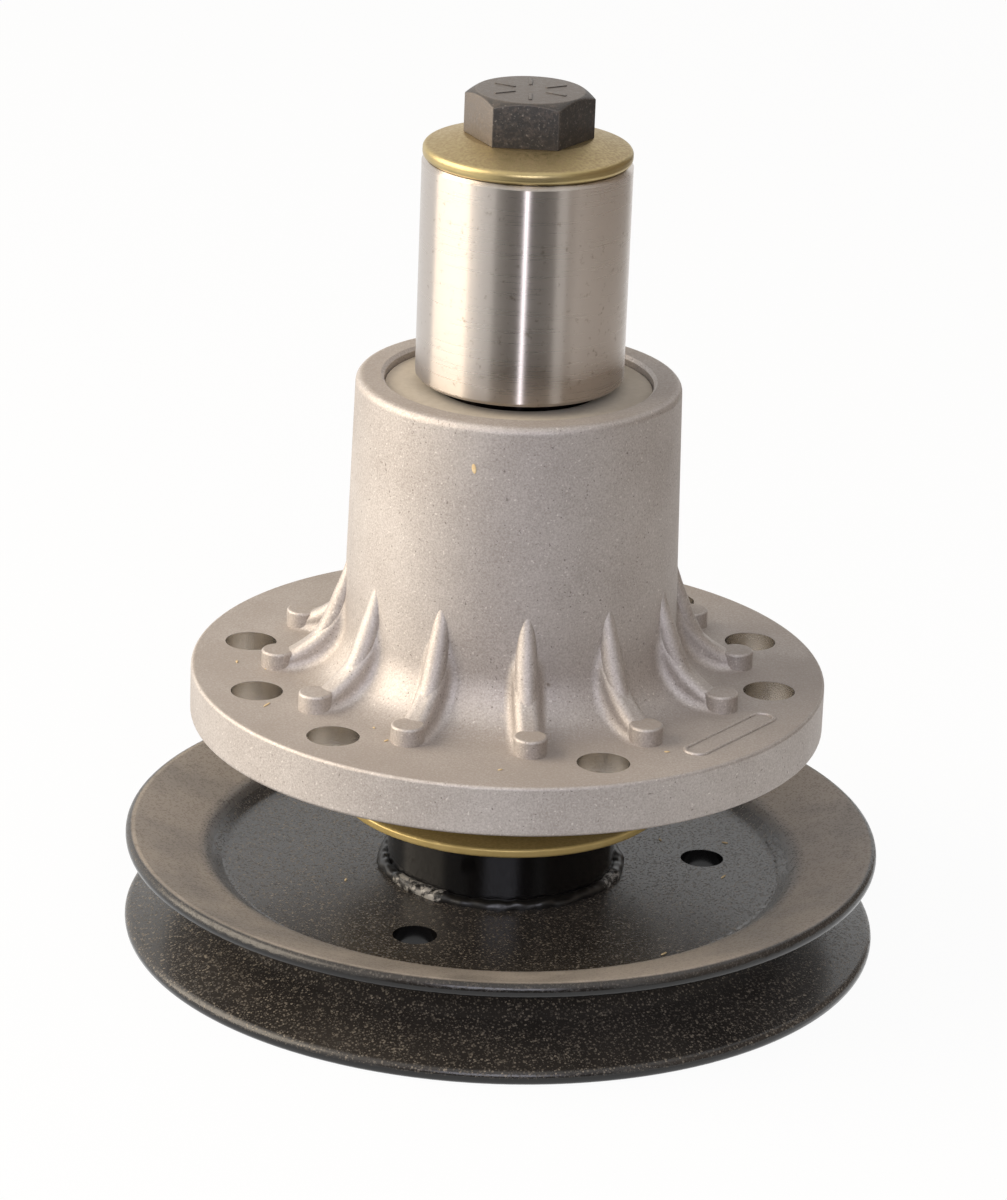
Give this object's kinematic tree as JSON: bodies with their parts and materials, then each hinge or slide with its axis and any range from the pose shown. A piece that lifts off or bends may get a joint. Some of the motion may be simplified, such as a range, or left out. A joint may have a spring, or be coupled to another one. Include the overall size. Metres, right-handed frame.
{
  "type": "mower deck spindle",
  "caption": "Mower deck spindle: ribbed cast housing with a bolt flange, bearings, a through shaft, a V-belt pulley at one end and a blade spacer with its bolt at the other.",
  "frame": {"origin": "on the spin axis, in the plane of the pulley's lower rim that the spindle stands on", "axes": "+Z along the spin axis from the pulley to the blade bolt; +X and +Y through flange holes a quarter turn apart"},
  "size_m": [0.165, 0.165, 0.1899],
  "materials": {
    "cast_housing": "as die-cast, grainy and dusty",
    "pulley_paint": "gloss black paint with dust",
    "weld": "painted weld bead, chipped",
    "ground_steel": "ground bright, faintly pitted",
    "yellow_zinc": "yellow passivated zinc on steel",
    "black_oxide": "black oxide",
    "bearing_steel": "ground and polished",
    "cage_steel": "pressed",
    "seal_case": "matt grey",
    "shaft_steel": "turned",
    "zinc_plate": "clear zinc"
  },
  "bodies": {
    "housing": {"spindle_housing": "cast_housing", "blade_end_seal": "seal_case", "pulley_end_seal": "seal_case", "blade_end_outer_ring": "bearing_steel", "blade_end_shields": "cage_steel", "pulley_end_outer_ring": "bearing_steel", "pulley_end_shields": "cage_steel"},
    "rotor": {"spindle_shaft": "shaft_steel", "shaft_key": "shaft_steel", "bearing_spacer": "shaft_steel", "blade_end_inner_ring": "bearing_steel", "pulley_end_inner_ring": "bearing_steel", "blade_spacer": "ground_steel", "blade_washer": "yellow_zinc", "blade_bolt": "black_oxide", "dust_shield": "yellow_zinc", "pulley_hub": "pulley_paint", "hub_weld": "weld", "pulley_upper_half": "pulley_paint", "pulley_lower_half": "pulley_paint", "pulley_washer": "zinc_plate", "pulley_nut": "zinc_plate"},
    "blade_end_ball_set": {"blade_end_balls": "bearing_steel", "blade_end_cage": "cage_steel"},
    "pulley_end_ball_set": {"pulley_end_balls": "bearing_steel", "pulley_end_cage": "cage_steel"}
  },
  "joints": [
    {"name": "spindle_spin", "type": "hinge", "parent": "housing", "child": "rotor", "pos_m": [0, 0, 0.05], "axis": [0, 0, 1], "continuous": true},
    {"name": "blade_end_cage_spin", "type": "hinge", "parent": "housing", "child": "blade_end_ball_set", "pos_m": [0, 0, 0.1112], "axis": [0, 0, 1], "continuous": true},
    {"name": "pulley_end_cage_spin", "type": "hinge", "parent": "housing", "child": "pulley_end_ball_set", "pos_m": [0, 0, 0.0493], "axis": [0, 0, 1], "continuous": true}
  ],
  "couplings": [
    {"joint": "blade_end_cage_spin", "follows": "spindle_spin", "ratio": 0.3974},
    {"joint": "pulley_end_cage_spin", "follows": "spindle_spin", "ratio": 0.3974}
  ]
}
